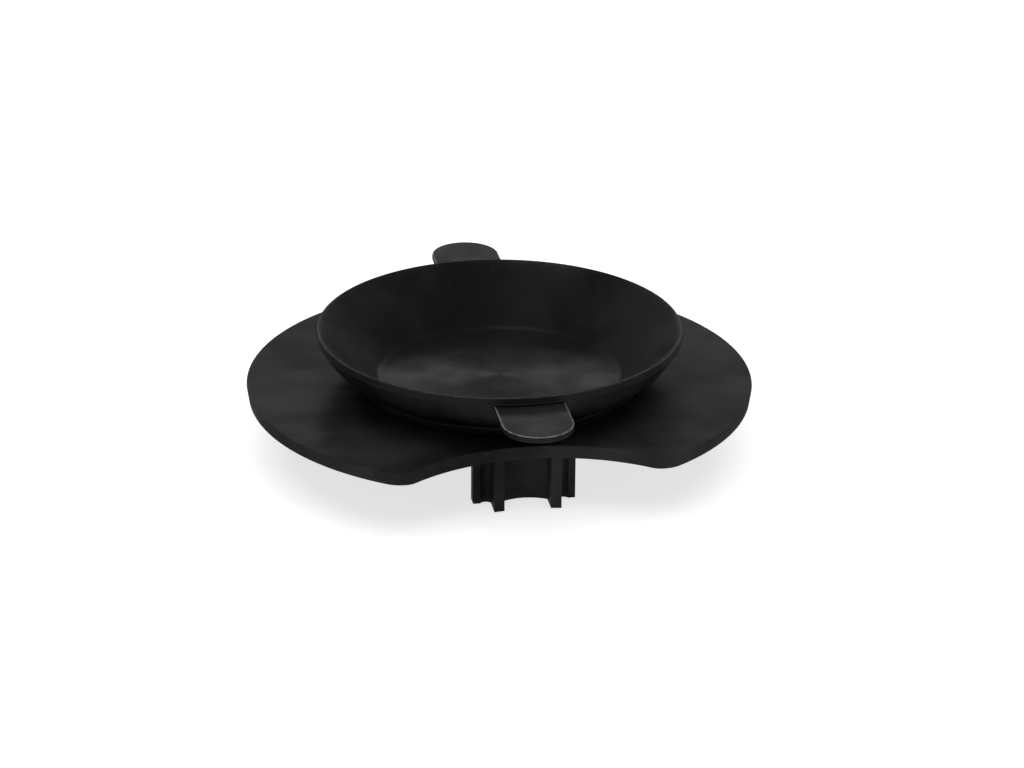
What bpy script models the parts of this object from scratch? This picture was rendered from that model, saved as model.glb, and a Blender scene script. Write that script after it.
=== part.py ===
"""Suction mounting foot: a notched round plate with two ribbed plugs under it and a release-tab suction cup on it.

Frame: +Z up, Z = 0 at the lowest faces of the plugs, the cup's axis on Z, the release tabs along -Y and +Y.
Units are metres.
"""

import math

import bmesh
import bpy

MM = 0.001

# Clearance that neighbouring pieces keep
GAP = 0.3 * MM

# Plate
PLATE_RADIUS = 76.2 * MM
PLATE_THICKNESS = 4.0 * MM
PLATE_EDGE_ROUND = 0.9 * MM
SEAT_DEPTH = 1.6 * MM

# Finger notches, arcs cut into the plate in front of each tab
NOTCH_RADIUS = 57.0 * MM
NOTCH_UNDER_RIM = 3.8 * MM
NOTCH_TIP_ROUND = 7.5 * MM

# Plugs under the plate, one behind each notch
PLUG_HEIGHT = 16.0 * MM
PLUG_WIDTH = 30.4 * MM
PLUG_LENGTH = 22.0 * MM
RIB_THICKNESS = 3.1 * MM
RIB_SPACING = 16.8 * MM
RIB_OVERHANG = 5.8 * MM
WALL_THICKNESS = 3.9 * MM
WALL_ROOT_THICKNESS = 4.4 * MM
WEB_THICKNESS = 3.0 * MM
SCOOP_DEPTH = 2.0 * MM
FLUTE_WIDTH = 3.1 * MM
FLUTE_DEPTH = 0.9 * MM
PLUG_EDGE_ROUND = 0.3 * MM
FLUSH_STEP = 0.05 * MM

# Stiffeners and boss under the middle of the plate
STIFFENER_HEIGHT = 4.0 * MM
BOSS_RADIUS = 9.0 * MM
BOSS_HEIGHT = 2.0 * MM

# Suction cup
CUP_RIM_RADIUS = 55.0 * MM
CUP_HEIGHT = 17.0 * MM
CUP_FLOOR_RADIUS = 35.8 * MM
CUP_FLOOR_RISE = 1.1 * MM
CUP_CREASE_RADIUS = 5.0 * MM
CUP_FOOT_WIDTH = 6.9 * MM
CUP_FOOT_HEIGHT = 2.3 * MM
CUP_FOOT_LEDGE = 0.5 * MM
CUP_BULGE = 1.1 * MM
RIM_BAND_HEIGHT = 2.6 * MM
RIM_BAND_PROUD = 0.5 * MM
LIP_FLAT = 1.2 * MM
LIP_SLOPE = 0.8 * MM
LIP_DROP = 0.4 * MM
LIP_EDGE = 0.2 * MM

# Release tabs
TAB_WIDTH = 20.9 * MM
TAB_LENGTH = 22.3 * MM
TAB_THICKNESS = 1.9 * MM
TAB_EDGE_ROUND = 0.3 * MM

# Bonded stud plate and the fasteners on its stud
STUD_PLATE_RADIUS = 20.0 * MM
STUD_PLATE_THICKNESS = 1.2 * MM
STUD_RADIUS = 3.0 * MM
STUD_CHAMFER = 0.6 * MM
STUD_PAST_NUT = 1.2 * MM
WASHER_RADIUS = 6.0 * MM
WASHER_THICKNESS = 1.6 * MM
WASHER_EDGE = 0.2 * MM
SPRING_WASHER_RADIUS = 5.6 * MM
SPRING_WASHER_THICKNESS = 1.6 * MM
SPRING_WASHER_SPLIT = 1.2 * MM
SPRING_WASHER_EDGE = 0.15 * MM
NUT_ACROSS_FLATS = 10.0 * MM
NUT_HEIGHT = 5.0 * MM
NUT_CHAMFER = 0.6 * MM

# Levels worked out from the sizes above
PLATE_BOTTOM = PLUG_HEIGHT
PLATE_TOP = PLATE_BOTTOM + PLATE_THICKNESS
SEAT_FLOOR = PLATE_TOP - SEAT_DEPTH
CUP_BOTTOM = SEAT_FLOOR + GAP
CUP_FLOOR = PLATE_TOP + CUP_FLOOR_RISE
CUP_TOP = PLATE_TOP + CUP_HEIGHT
RIM_BAND_BOTTOM = CUP_TOP - RIM_BAND_HEIGHT
CUP_FOOT_RADIUS = CUP_FLOOR_RADIUS + CUP_FOOT_WIDTH
CUP_FOOT_TOP = PLATE_TOP + CUP_FOOT_HEIGHT
NOTCH_REACH = CUP_RIM_RADIUS - NOTCH_UNDER_RIM
NOTCH_CENTRE = NOTCH_REACH + NOTCH_RADIUS
PLUG_ROOT = PLATE_BOTTOM + SEAT_DEPTH / 2
BOSS_BOTTOM = PLATE_BOTTOM - BOSS_HEIGHT
BORE_RADIUS = STUD_RADIUS + GAP
TAB_ROOT = CUP_RIM_RADIUS + GAP
TAB_TOP = RIM_BAND_BOTTOM

# Levels of the fasteners, stacked down from the boss
WASHER_TOP = BOSS_BOTTOM - GAP
SPRING_WASHER_TOP = WASHER_TOP - WASHER_THICKNESS - GAP
NUT_TOP = SPRING_WASHER_TOP - SPRING_WASHER_THICKNESS - GAP
NUT_BOTTOM = NUT_TOP - NUT_HEIGHT
STUD_END = NUT_BOTTOM - STUD_PAST_NUT

# Segments round the turned pieces
FINE = 96
SMALL = 32
OVERCUT = 2.0 * MM

BLACK_PLASTIC = ("black_plastic", (0.016, 0.016, 0.017, 1.0), 0.34, 0.0)
BLACK_RUBBER = ("black_rubber", (0.013, 0.013, 0.013, 1.0), 0.48, 0.0)
ZINC_STEEL = ("zinc_steel", (0.60, 0.61, 0.62, 1.0), 0.32, 1.0)


def clear_scene():
    for obj in list(bpy.data.objects):
        bpy.data.objects.remove(obj, do_unlink=True)


def new_collection(name):
    collection = bpy.data.collections.new(name)
    bpy.context.scene.collection.children.link(collection)
    return collection


def give_material(obj, finish):
    """Each sub-part has its own copy of its finish."""
    name, colour, roughness, metallic = finish
    material = bpy.data.materials.new(f"{obj.name}_{name}")
    material.use_nodes = True
    shader = material.node_tree.nodes["Principled BSDF"]
    shader.inputs["Base Color"].default_value = colour
    shader.inputs["Roughness"].default_value = roughness
    shader.inputs["Metallic"].default_value = metallic
    obj.data.materials.clear()
    obj.data.materials.append(material)


def mesh_object(name, shape, collection):
    mesh = bpy.data.meshes.new(name)
    shape.to_mesh(mesh)
    shape.free()
    obj = bpy.data.objects.new(name, mesh)
    collection.objects.link(obj)
    return obj


def bake(obj):
    """Swaps the object's mesh for the one that its modifiers make."""
    bpy.context.view_layer.update()
    evaluated = obj.evaluated_get(bpy.context.evaluated_depsgraph_get())
    mesh = bpy.data.meshes.new_from_object(evaluated)
    obj.modifiers.clear()
    obj.data = mesh
    return obj


def shade(obj):
    obj.data.shade_smooth()
    obj.data.set_sharp_from_angle(angle=math.radians(35))


def box(name, low, high, collection):
    shape = bmesh.new()
    bmesh.ops.create_cube(shape, size=1.0)
    for vert in shape.verts:
        for axis in range(3):
            vert.co[axis] = low[axis] if vert.co[axis] < 0 else high[axis]
    return mesh_object(name, shape, collection)


def cylinder(name, radius, low, high, centre, segments, collection):
    shape = bmesh.new()
    bmesh.ops.create_cone(
        shape, cap_ends=True, segments=segments, radius1=radius, radius2=radius, depth=high - low
    )
    bmesh.ops.translate(shape, verts=shape.verts, vec=(centre[0], centre[1], (low + high) / 2))
    return mesh_object(name, shape, collection)


def turned(name, profile, segments, collection, closed=False):
    """Turns (radius, height) points, listed down the outer side, about the Z axis."""
    shape = bmesh.new()
    points = [shape.verts.new((radius, 0, height)) for radius, height in profile]
    ends = points[1:] + points[:1] if closed else points[1:]
    for start, end in zip(points, ends):
        shape.edges.new((start, end))
    obj = mesh_object(name, shape, collection)
    screw = obj.modifiers.new("Turn", "SCREW")
    screw.steps = segments
    screw.render_steps = segments
    screw.use_merge_vertices = True
    screw.merge_threshold = 0.00001
    return bake(obj)


def slab(name, outline, low, high, collection):
    """A flat outline, as a filled 2D curve with thickness, made a mesh."""
    curve = bpy.data.curves.new(name, "CURVE")
    curve.dimensions = "2D"
    curve.fill_mode = "BOTH"
    curve.extrude = (high - low) / 2
    spline = curve.splines.new("POLY")
    spline.points.add(len(outline) - 1)
    for point, (x, y) in zip(spline.points, outline):
        point.co = (x, y, 0, 1)
    spline.use_cyclic_u = True
    drawn = bpy.data.objects.new(f"{name}_outline", curve)
    collection.objects.link(drawn)
    drawn.location.z = (low + high) / 2
    bpy.context.view_layer.update()
    evaluated = drawn.evaluated_get(bpy.context.evaluated_depsgraph_get())
    shape = bmesh.new()
    shape.from_mesh(bpy.data.meshes.new_from_object(evaluated))
    bmesh.ops.remove_doubles(shape, verts=shape.verts, dist=0.000001)
    bmesh.ops.dissolve_limit(shape, angle_limit=math.radians(0.1), verts=shape.verts, edges=shape.edges)
    shape.transform(drawn.matrix_world)
    bpy.data.objects.remove(drawn, do_unlink=True)
    return mesh_object(name, shape, collection)


def round_edges(obj, width, segments):
    bevel = obj.modifiers.new("Round", "BEVEL")
    bevel.width = width
    bevel.segments = segments
    bevel.limit_method = "ANGLE"
    bevel.angle_limit = math.radians(40)
    return bake(obj)


def combine(obj, operation, others):
    for other in others:
        boolean = obj.modifiers.new(f"{operation.title()}_{other.name}", "BOOLEAN")
        boolean.operation = operation
        boolean.solver = "EXACT"
        boolean.object = other
    return bake(obj)


def arc(centre, radius, start, end, pieces):
    """Points from one angle to the other, both included."""
    angles = [start + (end - start) * step / pieces for step in range(pieces + 1)]
    return [(centre[0] + radius * math.cos(a), centre[1] + radius * math.sin(a)) for a in angles]


def plate_outline():
    """A round plate with a shallow arc cut from its rear and front, and rounded tips between them."""
    to_tip = PLATE_RADIUS - NOTCH_TIP_ROUND
    notch_to_tip = NOTCH_RADIUS + NOTCH_TIP_ROUND
    tip_y = (to_tip**2 - notch_to_tip**2 + NOTCH_CENTRE**2) / (2 * NOTCH_CENTRE)
    tip_x = math.sqrt(to_tip**2 - tip_y**2)
    rim_angle = math.atan2(tip_y, tip_x)
    notch_angle = math.atan2(tip_y - NOTCH_CENTRE, tip_x)
    right = arc((0, 0), PLATE_RADIUS, -rim_angle, rim_angle, FINE // 3)
    tip = arc((tip_x, tip_y), NOTCH_TIP_ROUND, rim_angle, notch_angle + math.pi, 5)
    notch = arc((0, NOTCH_CENTRE), NOTCH_RADIUS, notch_angle, -math.pi - notch_angle, FINE // 4)
    quarter_turn = right + tip[1:-1] + notch
    other_tip = [(-x, y) for x, y in reversed(tip)]
    half = quarter_turn + other_tip[1:-1]
    return half + [(-x, -y) for x, y in half]


def side_by_side(low_x, high_x):
    """The same span of X on the left and on the right."""
    return ((low_x, high_x), (-high_x, -low_x))


def notch_face(x):
    """How far from the centre the front of a plug is, at x: a hair behind the face of the notch."""
    return NOTCH_CENTRE - math.sqrt((NOTCH_RADIUS + FLUSH_STEP) ** 2 - x**2)


def dip(low_x, high_x, level, depth, pieces):
    """A shallow arc, hollowed by depth from a level, as (x, distance from the centre)."""
    half = (high_x - low_x) / 2
    radius = (half**2 + depth**2) / (2 * depth)
    spread = math.asin(half / radius)
    middle = ((low_x + high_x) / 2, level - depth + radius)
    return arc(middle, radius, -math.pi / 2 - spread, -math.pi / 2 + spread, pieces)


def plug_outline():
    """The plug seen from below: two ribs that stand out of a scooped and fluted cross wall."""
    wall = NOTCH_REACH - RIB_OVERHANG
    rear = NOTCH_REACH - PLUG_LENGTH
    inner = (RIB_SPACING - RIB_THICKNESS) / 2
    outer = inner + RIB_THICKNESS
    half = PLUG_WIDTH / 2
    flute = dip(outer, outer + FLUTE_WIDTH, wall, FLUTE_DEPTH, 6)
    right = [(inner, notch_face(inner)), (outer, notch_face(outer))] + flute
    right += [(half, wall), (half, wall - WALL_THICKNESS), (outer, wall - WALL_ROOT_THICKNESS), (outer, rear)]
    scoop = dip(-inner, inner, wall, SCOOP_DEPTH, 12)
    return scoop + right + [(-x, y) for x, y in reversed(right)]


def plug_cell(collection):
    """Cutter for the closed cell between the ribs, the cross wall and the web."""
    inner = (RIB_SPACING - RIB_THICKNESS) / 2
    low = NOTCH_REACH - PLUG_LENGTH + WEB_THICKNESS
    high = NOTCH_REACH - RIB_OVERHANG - WALL_ROOT_THICKNESS
    return box("rear_cell", (-inner, low, -OVERCUT), (inner, high, PLATE_BOTTOM), collection)


def rear_plug(collection):
    plug = slab("rear_plug", plug_outline(), 0, PLUG_ROOT, collection)
    round_edges(plug, PLUG_EDGE_ROUND, 1)
    return combine(plug, "DIFFERENCE", [plug_cell(collection)])


def turned_round(obj, name, collection):
    """A copy turned half a turn about the Z axis."""
    shape = bmesh.new()
    shape.from_mesh(obj.data)
    for vert in shape.verts:
        vert.co.x = -vert.co.x
        vert.co.y = -vert.co.y
    return mesh_object(name, shape, collection)


def stiffeners(collection):
    """Low ribs that carry on from the plugs' ribs past the boss."""
    reach = NOTCH_REACH - PLUG_LENGTH + WEB_THICKNESS / 2
    thickness = RIB_THICKNESS - 2 * GAP
    low_x = (RIB_SPACING - thickness) / 2
    bottom = PLATE_BOTTOM - STIFFENER_HEIGHT
    made = []
    for index, (left, right) in enumerate(side_by_side(low_x, low_x + thickness)):
        low = (left, -reach, bottom)
        made.append(box(f"stiffener_{index}", low, (right, reach, PLUG_ROOT), collection))
    return made


def base_plate(parts, cutters):
    plate = slab("base_plate", plate_outline(), PLATE_BOTTOM, PLATE_TOP, parts)
    round_edges(plate, PLATE_EDGE_ROUND, 2)
    rear = rear_plug(cutters)
    front = turned_round(rear, "front_plug", cutters)
    boss = cylinder("boss", BOSS_RADIUS, BOSS_BOTTOM, SEAT_FLOOR - GAP, (0, 0), FINE // 2, cutters)
    combine(plate, "UNION", [front, rear, boss] + stiffeners(cutters))
    seat_radius = CUP_FOOT_RADIUS + GAP
    seat = cylinder("seat", seat_radius, SEAT_FLOOR, PLATE_TOP + OVERCUT, (0, 0), FINE, cutters)
    bore = cylinder("bore", BORE_RADIUS, 0, PLATE_TOP, (0, 0), SMALL, cutters)
    combine(plate, "DIFFERENCE", [seat, bore])
    give_material(plate, BLACK_PLASTIC)
    shade(plate)


def crease_profile():
    """The inner wall: from the top of the wall down to the crease and onto the floor, as (radius, height)."""
    wall_top = (CUP_RIM_RADIUS - LIP_FLAT - LIP_SLOPE, CUP_TOP - LIP_DROP)
    centre = (CUP_FLOOR_RADIUS, CUP_FLOOR + CUP_CREASE_RADIUS)
    across = wall_top[0] - centre[0]
    up = wall_top[1] - centre[1]
    lean = math.atan2(up, across) - math.acos(CUP_CREASE_RADIUS / math.hypot(across, up))
    steps = 4
    angles = [lean + (-math.pi / 2 - lean) * step / steps for step in range(steps + 1)]
    curve = [
        (centre[0] + CUP_CREASE_RADIUS * math.cos(a), centre[1] + CUP_CREASE_RADIUS * math.sin(a)) for a in angles
    ]
    return [wall_top] + curve


def skirt_profile():
    """The outer wall: a slightly bulging curve from under the rim band down to the ledge of the foot."""
    top = (CUP_RIM_RADIUS - RIM_BAND_PROUD, RIM_BAND_BOTTOM)
    foot = (CUP_FOOT_RADIUS - CUP_FOOT_LEDGE, CUP_FOOT_TOP)
    steps = 5
    points = []
    for step in range(steps + 1):
        share = step / steps
        out = CUP_BULGE * 4 * share * (1 - share)
        radius = top[0] + (foot[0] - top[0]) * share + out
        height = top[1] + (foot[1] - top[1]) * share - out
        points.append((min(radius, top[0]), height))
    return points


def suction_cup(parts):
    lip = [
        (CUP_RIM_RADIUS - LIP_FLAT, CUP_TOP),
        (CUP_RIM_RADIUS - LIP_EDGE, CUP_TOP),
        (CUP_RIM_RADIUS, CUP_TOP - LIP_EDGE),
        (CUP_RIM_RADIUS, RIM_BAND_BOTTOM + LIP_EDGE),
    ]
    recess_radius = STUD_PLATE_RADIUS + GAP
    recess_top = CUP_BOTTOM + STUD_PLATE_THICKNESS + GAP
    foot = [
        (CUP_FOOT_RADIUS, CUP_FOOT_TOP),
        (CUP_FOOT_RADIUS, CUP_BOTTOM),
        (recess_radius, CUP_BOTTOM),
        (recess_radius, recess_top),
        (0, recess_top),
    ]
    profile = [(0, CUP_FLOOR)] + crease_profile()[::-1] + lip + skirt_profile() + foot
    cup = turned("suction_cup", profile, FINE, parts)
    give_material(cup, BLACK_RUBBER)
    shade(cup)


def release_tab(name, side, parts):
    """A flat tongue with a round end. Its origin is on its bending axis, at the rim."""
    half = TAB_WIDTH / 2
    root_angle = math.asin(half / TAB_ROOT)
    root = arc((0, 0), TAB_ROOT, -math.pi / 2 - root_angle, -math.pi / 2 + root_angle, 8)
    end_centre = (0, -(CUP_RIM_RADIUS + TAB_LENGTH - half))
    end = arc(end_centre, half, 0, -math.pi, 20)
    outline = [(side * -x, side * -y) for x, y in root + end]
    tab = slab(name, outline, TAB_TOP - TAB_THICKNESS, TAB_TOP, parts)
    round_edges(tab, TAB_EDGE_ROUND, 1)
    pivot = (0, side * TAB_ROOT, TAB_TOP - TAB_THICKNESS / 2)
    set_origin(tab, pivot)
    give_material(tab, BLACK_RUBBER)
    shade(tab)


def set_origin(obj, point):
    """Moves the origin and leaves the shape where it is."""
    for vert in obj.data.vertices:
        for axis in range(3):
            vert.co[axis] += obj.location[axis] - point[axis]
    obj.location = point


def stud_plate(parts):
    top = CUP_BOTTOM + STUD_PLATE_THICKNESS
    profile = [
        (0, top),
        (STUD_PLATE_RADIUS, top),
        (STUD_PLATE_RADIUS, CUP_BOTTOM),
        (STUD_RADIUS, CUP_BOTTOM),
        (STUD_RADIUS, STUD_END + STUD_CHAMFER),
        (STUD_RADIUS - STUD_CHAMFER, STUD_END),
        (0, STUD_END),
    ]
    plate = turned("stud_plate", profile, SMALL, parts)
    give_material(plate, ZINC_STEEL)
    shade(plate)


def ring_profile(radius, bore, low, high, edge):
    """The closed section of a ring, with its outer edges chamfered."""
    return [
        (bore, high),
        (radius - edge, high),
        (radius, high - edge),
        (radius, low + edge),
        (radius - edge, low),
        (bore, low),
    ]


def flat_washer(parts):
    low = WASHER_TOP - WASHER_THICKNESS
    section = ring_profile(WASHER_RADIUS, BORE_RADIUS, low, WASHER_TOP, WASHER_EDGE)
    washer = turned("flat_washer", section, SMALL, parts, closed=True)
    give_material(washer, ZINC_STEEL)
    shade(washer)


def spring_washer(parts, cutters):
    """A ring cut through on one side."""
    low = SPRING_WASHER_TOP - SPRING_WASHER_THICKNESS
    section = ring_profile(SPRING_WASHER_RADIUS, BORE_RADIUS, low, SPRING_WASHER_TOP, SPRING_WASHER_EDGE)
    washer = turned("spring_washer", section, SMALL, parts, closed=True)
    half = SPRING_WASHER_SPLIT / 2
    split = box("split", (0, -half, low - GAP), (2 * SPRING_WASHER_RADIUS, half, NUT_TOP + 2 * OVERCUT), cutters)
    combine(washer, "DIFFERENCE", [split])
    give_material(washer, ZINC_STEEL)
    shade(washer)


def hex_nut(parts, cutters):
    corner = NUT_ACROSS_FLATS / 2 / math.cos(math.pi / 6)
    nut = cylinder("hex_nut", corner, NUT_BOTTOM, NUT_TOP, (0, 0), 6, parts)
    start = corner - NUT_CHAMFER
    slope = math.tan(math.radians(30))
    reach = corner + OVERCUT
    blank = [
        (0, NUT_TOP + start * slope),
        (reach, NUT_TOP - (reach - start) * slope),
        (reach, NUT_BOTTOM + (reach - start) * slope),
        (0, NUT_BOTTOM - start * slope),
    ]
    cones = turned("nut_chamfers", blank, SMALL, cutters)
    bore = cylinder("nut_bore", BORE_RADIUS, NUT_BOTTOM - OVERCUT, NUT_TOP + OVERCUT, (0, 0), SMALL, cutters)
    combine(nut, "INTERSECT", [cones])
    combine(nut, "DIFFERENCE", [bore])
    give_material(nut, ZINC_STEEL)
    shade(nut)


def main():
    clear_scene()
    parts = new_collection("suction_mounting_foot")
    cutters = new_collection("cutters")
    base_plate(parts, cutters)
    suction_cup(parts)
    release_tab("release_tab_front", -1, parts)
    release_tab("release_tab_rear", 1, parts)
    stud_plate(parts)
    flat_washer(parts)
    spring_washer(parts, cutters)
    hex_nut(parts, cutters)
    for cutter in cutters.objects:
        cutter.hide_render = True
        cutter.display_type = "WIRE"


main()
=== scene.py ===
"""Looks of the suction mounting foot: moulded plate, rubber cup with release tabs, zinc fasteners, studio."""

import math

import bmesh
import bpy
from mathutils import Matrix, Vector


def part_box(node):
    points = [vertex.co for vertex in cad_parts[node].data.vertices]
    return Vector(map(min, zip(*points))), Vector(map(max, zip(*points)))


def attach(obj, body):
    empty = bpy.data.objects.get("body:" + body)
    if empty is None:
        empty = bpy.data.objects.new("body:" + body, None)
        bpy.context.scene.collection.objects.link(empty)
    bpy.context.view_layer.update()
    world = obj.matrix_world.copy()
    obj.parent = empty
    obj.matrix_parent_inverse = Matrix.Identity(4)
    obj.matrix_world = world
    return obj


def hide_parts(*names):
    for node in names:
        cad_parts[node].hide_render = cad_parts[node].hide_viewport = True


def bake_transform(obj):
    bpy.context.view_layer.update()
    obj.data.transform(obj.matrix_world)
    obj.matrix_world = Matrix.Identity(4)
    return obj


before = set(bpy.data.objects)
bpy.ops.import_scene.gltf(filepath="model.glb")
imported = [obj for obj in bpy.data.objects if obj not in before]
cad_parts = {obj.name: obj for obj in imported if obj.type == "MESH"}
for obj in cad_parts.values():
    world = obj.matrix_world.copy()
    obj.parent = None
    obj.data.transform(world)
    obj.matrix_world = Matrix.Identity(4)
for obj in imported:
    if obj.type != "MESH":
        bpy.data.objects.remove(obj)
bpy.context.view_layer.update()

bl_info = {
    "name": "Suction mounting foot",
    "version": (1, 0, 0),
    "blender": (4, 5, 0),
    "location": "View3D > Sidebar > Foot",
    "description": "Models the visible pieces of a suction mounting foot round its packed frame",
    "category": "Object",
}

MM = 0.001
BASE_LOW, BASE_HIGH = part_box("base_plate")
CUP_LOW, CUP_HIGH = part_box("suction_cup")
TAB_LOW, TAB_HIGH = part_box("release_tab_front")
STUD_LOW, STUD_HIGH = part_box("stud_plate")
WASHER_LOW, WASHER_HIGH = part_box("flat_washer")
SPRING_LOW, SPRING_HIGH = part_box("spring_washer")
NUT_LOW, NUT_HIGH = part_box("hex_nut")


# Sizes and colours


def length(name, description, millimetres):
    """A size property, kept in metres."""
    return bpy.props.FloatProperty(
        name=name, description=description, default=millimetres * MM, min=0.0, precision=5, subtype="DISTANCE"
    )


def share(name, description, value):
    return bpy.props.FloatProperty(name=name, description=description, default=value, min=0.0, max=1.0)


def swing(name, description, degrees):
    """An angle property, kept in radians."""
    return bpy.props.FloatProperty(
        name=name, description=description, default=math.radians(degrees), subtype="ANGLE"
    )


def colour(name, description, value):
    return bpy.props.FloatVectorProperty(
        name=name, description=description, default=value, min=0.0, max=1.0, size=3, subtype="COLOR"
    )


class FootPlateSizes(bpy.types.PropertyGroup):
    """Sizes of the moulded plate and what is moulded on it."""

    thickness: length("Thickness", "Plate thickness", 4.0)
    edge_round: length("Edge round", "Radius along the edges of the plate and its plugs", 0.45)
    draft: length("Draft", "How far the rim leans in at its lower edge", 0.6)
    notch_radius: length("Notch radius", "Radius of each finger notch", 57.0)
    notch_reach: length("Notch reach", "From the centre to the nearest point of a notch", 51.2)
    tip_round: length("Tip round", "Radius of the corners beside a notch", 7.5)
    seat_depth: length("Seat depth", "Depth of the pocket that the cup sits in", 1.6)
    seat_radius: length("Seat radius", "Radius of the pocket that the cup sits in", 43.0)
    boss_radius: length("Boss radius", "Radius of the boss round the stud", 9.0)
    bore_radius: length("Bore radius", "Radius of the hole that the stud passes through", 3.3)
    boss_height: length("Boss height", "How far the boss stands under the plate", 2.0)
    stiffener_height: length("Stiffener height", "How far the stiffeners stand under the plate", 4.0)


class FootPlugSizes(bpy.types.PropertyGroup):
    """Sizes of the two ribbed plugs."""

    width: length("Width", "Overall width of a plug", 30.4)
    depth: length("Depth", "Front to back length of the ribs", 22.0)
    rib_thickness: length("Rib thickness", "Thickness of the two ribs", 3.1)
    rib_spacing: length("Rib spacing", "Between the middles of the two ribs", 16.8)
    rib_overhang: length("Rib overhang", "How far the ribs stand out of the cross wall", 5.8)
    wall_thickness: length("Wall thickness", "Cross wall at its outer ends", 3.9)
    wall_root: length("Wall at the ribs", "Cross wall where it meets the ribs", 4.4)
    web_thickness: length("Web thickness", "Web that joins the ribs at the rear", 3.0)
    scoop_depth: length("Scoop depth", "Hollow of the cross wall between the ribs", 2.0)
    flute_width: length("Flute width", "Width of the flutes outside the ribs", 3.1)
    flute_depth: length("Flute depth", "Depth of the flutes outside the ribs", 0.9)


class FootCupSizes(bpy.types.PropertyGroup):
    """Sizes of the rubber cup and its tabs."""

    floor_radius: length("Floor radius", "Flat floor inside the cup", 35.2)
    floor_rise: length("Floor rise", "Cup floor above the plate's top", 1.1)
    crease_radius: length("Crease radius", "Round between the floor and the wall", 3.2)
    foot_radius: length("Foot radius", "Outside of the cup where it meets the plate", 42.7)
    foot_height: length("Foot height", "How far the cup's foot stands above the plate's top", 2.3)
    foot_ledge: length("Foot ledge", "Ledge on top of the foot, outside the wall", 0.5)
    bulge: length("Bulge", "How far the outer wall swells from straight", 1.1)
    band_height: length("Band height", "Upright band round the mouth", 2.6)
    band_proud: length("Band proud", "How far the band stands out of the wall", 0.5)
    lip_flat: length("Lip", "Width of the flat lip", 0.8)
    lip_slope: length("Lip slope", "Width of the slope inside the lip", 1.1)
    lip_drop: length("Lip drop", "Fall of the slope inside the lip", 0.8)
    tab_edge_round: length("Tab edge round", "Radius along the edges of a tab", 0.45)
    tab_root_depth: length("Tab root depth", "How far a tab's root runs into the cup's wall", 1.6)
    # Painted highlight: how grey the lip's outer edge and the top of the foot are painted.
    edge_highlight: share("Edge rub", "How grey the lip's and foot's edges are beside a tab's trimmed edge", 0.22)


class FootFinishes(bpy.types.PropertyGroup):
    """Colours and gloss of the finishes."""

    plastic: colour("Plastic", "Black of the moulded plate", (0.0215, 0.0216, 0.0220))
    plastic_roughness: share("Plastic roughness", "Mean roughness of the plate", 0.36)
    rubber: colour("Rubber", "Black of the cup and tabs", (0.0125, 0.0124, 0.0123))
    rubber_roughness: share("Rubber roughness", "Mean roughness of the rubber", 0.36)
    # This grey also serves as the painted highlight along the rounded edges of the tabs, lip and foot.
    trimmed: colour("Trimmed rubber", "Grey of the rubber along its trimmed edges", (0.24, 0.24, 0.24))
    zinc: colour("Zinc", "Plated steel", (0.60, 0.61, 0.63))


class FootStudio(bpy.types.PropertyGroup):
    """Camera, lights and floor."""

    azimuth: swing("Azimuth", "Camera's turn round the foot", -9.7)
    elevation: swing("Elevation", "Camera's height above level", 23.3)
    roll: swing("Roll", "Camera's turn about its own line of sight", 0.4)
    distance: length("Distance", "Camera to the point that it looks at", 1148.0)
    lens: bpy.props.FloatProperty(name="Lens", description="Focal length, in millimetres", default=133.6)
    aim_right: length("Aim right", "Point looked at, right of the plate's centre", 3.82)
    aim_down: length("Aim down", "Point looked at, below the plate's centre", 1.88)
    floor_white: share("Floor white", "Reflectance of the floor", 0.80)
    floor_glow: share("Floor glow", "Light that the floor gives off", 0.72)
    surround_low: share("Surround low", "Radiance of the surround at and below the horizon", 0.13)
    surround_high: share("Surround high", "Radiance of the surround overhead", 0.12)


# Modelling by operators


def pick(*objects):
    """Leaves object mode's selection on these objects, with the first one active."""
    if bpy.context.mode != "OBJECT":
        bpy.ops.object.mode_set(mode="OBJECT")
    bpy.ops.object.select_all(action="DESELECT")
    for obj in objects:
        obj.select_set(True)
    bpy.context.view_layer.objects.active = objects[0] if objects else None


def added(name):
    """Names the primitive that an operator has just added."""
    obj = bpy.context.active_object
    obj.name = name
    obj.data.name = name
    return obj


def settle(obj):
    """Puts the object's place, turn and scale into its mesh."""
    pick(obj)
    bpy.ops.object.transform_apply(location=True, rotation=True, scale=True)
    return obj


def modify(obj, kind, **settings):
    """Adds a modifier and applies it."""
    pick(obj)
    modifier = obj.modifiers.new(kind.title(), kind)
    for key, value in settings.items():
        setattr(modifier, key, value)
    bpy.ops.object.modifier_apply(modifier=modifier.name)
    return obj


def combine(obj, operation, others):
    """Boolean with each of the others in turn, which are then removed."""
    for other in others:
        modify(obj, "BOOLEAN", operation=operation, solver="EXACT", object=other)
        bpy.data.objects.remove(other, do_unlink=True)
    return obj


def clean_edit(obj, threshold=0.000002):
    """Merges doubles, drops loose edges and turns the faces outwards."""
    pick(obj)
    bpy.ops.object.mode_set(mode="EDIT")
    bpy.ops.mesh.select_all(action="SELECT")
    bpy.ops.mesh.remove_doubles(threshold=threshold)
    bpy.ops.mesh.delete_loose(use_verts=True, use_edges=True, use_faces=False)
    bpy.ops.mesh.select_all(action="SELECT")
    bpy.ops.mesh.normals_make_consistent(inside=False)
    bpy.ops.object.mode_set(mode="OBJECT")
    return obj


def flatten(obj, angle=0.1):
    """Dissolves the edges that lie within flat faces."""
    pick(obj)
    bpy.ops.object.mode_set(mode="EDIT")
    bpy.ops.mesh.select_all(action="SELECT")
    bpy.ops.mesh.dissolve_limited(angle_limit=math.radians(angle))
    bpy.ops.object.mode_set(mode="OBJECT")
    return obj


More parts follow.
